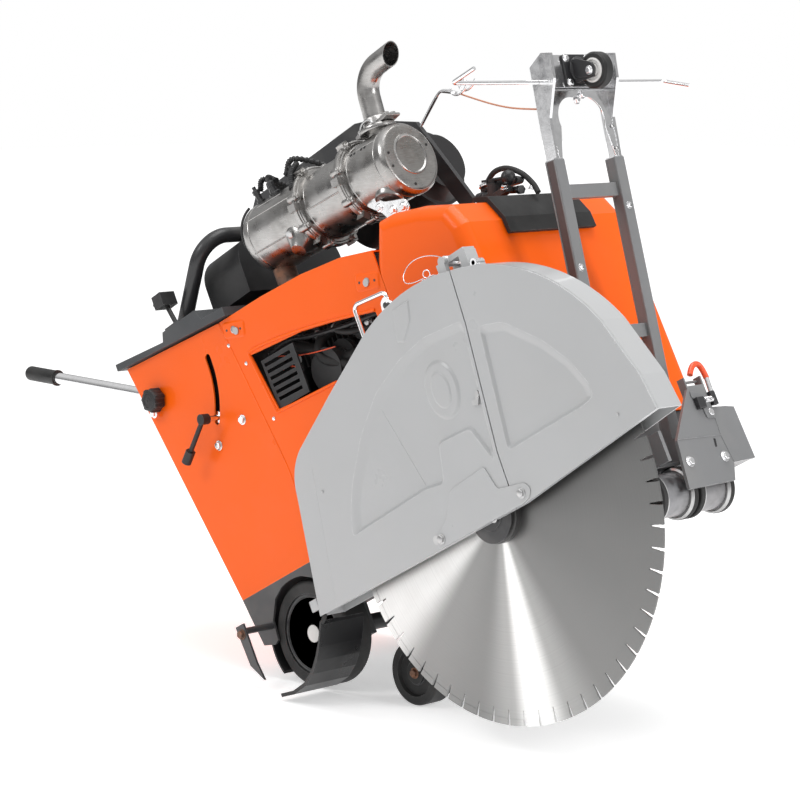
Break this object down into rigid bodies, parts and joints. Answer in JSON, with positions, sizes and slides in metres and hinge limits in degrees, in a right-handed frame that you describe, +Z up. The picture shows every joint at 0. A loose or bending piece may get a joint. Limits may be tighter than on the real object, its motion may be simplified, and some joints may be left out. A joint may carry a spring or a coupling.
{
  "type": "walk-behind concrete saw",
  "caption": "Walk-behind diesel concrete saw raised on its lift wheels, with a guarded diamond blade, filter canister, steering handles and folding front pointer.",
  "frame": {"origin": "floor point under the middle of the saw's bounding box", "axes": "+X forward along the cut, +Y to the operator's left, +Z up; the blade is on the right"},
  "size_m": [2.3112, 0.772, 1.5059],
  "materials": {
    "orange_paint": "gloss",
    "guard_paint": "satin",
    "dark_paint": "satin",
    "frame_grey": "satin",
    "blade_steel": "brushed",
    "bare_steel": "satin",
    "stainless": "satin",
    "chrome": "bright",
    "engine_alloy": "cast",
    "black_plastic": "matte",
    "console_plastic": "matte",
    "rubber": "matte",
    "tyre": "matte",
    "grip_rubber": "matte",
    "cord_fibre": "woven"
  },
  "bodies": {
    "chassis": {"rear_side_panel_right": "orange_paint", "rear_side_panel_left": "orange_paint", "rear_panel": "orange_paint", "hood_side_right": "orange_paint", "hood_side_left": "orange_paint", "bonnet": "orange_paint", "guard_rear": "guard_paint", "chassis_frame": "dark_paint", "spindle_housing": "dark_paint", "lifting_bail": "dark_paint", "roll_hoop": "dark_paint", "rear_axle": "dark_paint", "nose_bracket": "frame_grey", "panel_bolts": "bare_steel", "exhaust_elbow": "bare_steel", "exhaust_inlet_can": "stainless", "exhaust_filter_can": "stainless", "exhaust_outlet_can": "stainless", "exhaust_clamps": "stainless", "tailpipe": "stainless", "guard_handle": "chrome", "engine_block": "engine_alloy", "cylinder_head": "engine_alloy", "water_valve": "engine_alloy", "air_cleaner": "black_plastic", "radiator_shroud": "black_plastic", "window_grille": "black_plastic", "console": "console_plastic", "bonnet_cap": "rubber", "mud_flap": "rubber"},
    "spindle": {"blade_shaft": "bare_steel", "inner_flange": "bare_steel", "outer_flange": "bare_steel", "blade": "blade_steel"},
    "rear_wheel_right": {"rear_tyre_right": "tyre", "rear_rim_right": "dark_paint"},
    "rear_wheel_left": {"rear_tyre_left": "tyre", "rear_rim_left": "dark_paint"},
    "lift_arm": {"lift_arm": "dark_paint"},
    "front_wheel_right": {"front_wheel_right": "tyre"},
    "front_wheel_left": {"front_wheel_left": "tyre"},
    "guard_front": {"guard_front": "guard_paint"},
    "guard_latch": {"guard_latch": "bare_steel"},
    "handlebar": {"handlebar": "chrome", "grip_right": "grip_rubber", "grip_left": "grip_rubber"},
    "height_knob": {"height_knob": "black_plastic"},
    "clamp_lever": {"clamp_lever": "black_plastic"},
    "rear_pointer": {"rear_pointer": "frame_grey"},
    "pointer": {"pointer_frame": "frame_grey", "pointer_head": "chrome", "tether_cord": "cord_fibre"},
    "cross_rod": {"cross_rod": "chrome"},
    "caster_fork": {"caster_fork": "dark_paint"},
    "caster_wheel": {"caster_wheel": "tyre"},
    "nose_roller_right": {"nose_roller_right": "bare_steel"},
    "nose_roller_left": {"nose_roller_left": "bare_steel"},
    "nose_latch": {"nose_latch": "bare_steel"},
    "valve_lever": {"valve_lever": "black_plastic"},
    "speed_lever": {"speed_lever": "black_plastic"}
  },
  "joints": [
    {"name": "blade_spin", "type": "hinge", "parent": "chassis", "child": "spindle", "pos_m": [0.69453, 0.02605, 0.51787], "axis": [0, 1, 0], "continuous": true},
    {"name": "rear_wheel_right_spin", "type": "hinge", "parent": "chassis", "child": "rear_wheel_right", "pos_m": [-0.0184, -0.19595, 0.127], "axis": [0, 1, 0], "continuous": true},
    {"name": "rear_wheel_left_spin", "type": "hinge", "parent": "chassis", "child": "rear_wheel_left", "pos_m": [-0.0184, 0.24805, 0.127], "axis": [0, 1, 0], "continuous": true},
    {"name": "lift_arm_pivot", "type": "hinge", "parent": "chassis", "child": "lift_arm", "pos_m": [0.25386, 0.02605, 0.31772], "axis": [0, 1, 0], "range_deg": [-88, 0]},
    {"name": "front_wheel_right_spin", "type": "hinge", "parent": "lift_arm", "child": "front_wheel_right", "pos_m": [0.27333, -0.15595, 0.07532], "axis": [0, 1, 0], "continuous": true},
    {"name": "front_wheel_left_spin", "type": "hinge", "parent": "lift_arm", "child": "front_wheel_left", "pos_m": [0.27333, 0.20805, 0.07532], "axis": [0, 1, 0], "continuous": true},
    {"name": "guard_front_hinge", "type": "hinge", "parent": "chassis", "child": "guard_front", "pos_m": [0.54763, -0.34445, 1.04139], "axis": [0, 1, 0], "range_deg": [-80, 0]},
    {"name": "guard_latch_pivot", "type": "hinge", "parent": "chassis", "child": "guard_latch", "pos_m": [0.65865, -0.38235, 0.75491], "axis": [0, 1, 0], "range_deg": [0, 70]},
    {"name": "handle_height", "type": "hinge", "parent": "chassis", "child": "handlebar", "pos_m": [-0.57052, 0.02605, 0.63026], "axis": [0, 1, 0], "range_deg": [-34, 0]},
    {"name": "height_knob_turn", "type": "hinge", "parent": "handlebar", "child": "height_knob", "pos_m": [-0.57052, -0.25895, 0.63026], "axis": [0, 1, 0], "continuous": true},
    {"name": "clamp_lever_turn", "type": "hinge", "parent": "handlebar", "child": "clamp_lever", "pos_m": [-0.34771, -0.28395, 0.60724], "axis": [0, 1, 0], "range_deg": [-60, 45]},
    {"name": "rear_pointer_swing", "type": "hinge", "parent": "chassis", "child": "rear_pointer", "pos_m": [-0.15081, -0.33695, 0.12658], "axis": [0, 1, 0], "range_deg": [0, 150]},
    {"name": "pointer_fold", "type": "hinge", "parent": "chassis", "child": "pointer", "pos_m": [0.77725, 0.02605, 0.60285], "axis": [0, 1, 0], "range_deg": [0, 13]},
    {"name": "cross_rod_slide", "type": "slide", "parent": "pointer", "child": "cross_rod", "axis": [0, 1, 0], "range_m": [-0.1, 0.1]},
    {"name": "caster_swivel", "type": "hinge", "parent": "pointer", "child": "caster_fork", "pos_m": [0.56549, 0.02605, 1.43892], "axis": [0.9608, 0, 0.2773], "continuous": true},
    {"name": "caster_wheel_spin", "type": "hinge", "parent": "caster_fork", "child": "caster_wheel", "pos_m": [0.62318, 0.02605, 1.441], "axis": [0, 1, 0], "continuous": true},
    {"name": "nose_roller_right_spin", "type": "hinge", "parent": "chassis", "child": "nose_roller_right", "pos_m": [0.87511, -0.03395, 0.54061], "axis": [0, 1, 0], "continuous": true},
    {"name": "nose_roller_left_spin", "type": "hinge", "parent": "chassis", "child": "nose_roller_left", "pos_m": [0.87511, 0.08605, 0.54061], "axis": [0, 1, 0], "continuous": true},
    {"name": "nose_latch_turn", "type": "hinge", "parent": "chassis", "child": "nose_latch", "pos_m": [0.81894, 0.07105, 0.76681], "axis": [0, 1, 0], "range_deg": [-40, 0], "stiffness_Nm_per_rad": 1, "springref_deg": 5.73},
    {"name": "valve_lever_turn", "type": "hinge", "parent": "chassis", "child": "valve_lever", "pos_m": [0.33529, 0.00205, 1.18557], "axis": [-0.1532, 0, 0.9882], "range_deg": [-60, 60]},
    {"name": "speed_lever_tilt", "type": "hinge", "parent": "chassis", "child": "speed_lever", "pos_m": [-0.5232, -0.22195, 0.81764], "axis": [0, 1, 0], "range_deg": [-8, 12]}
  ]
}
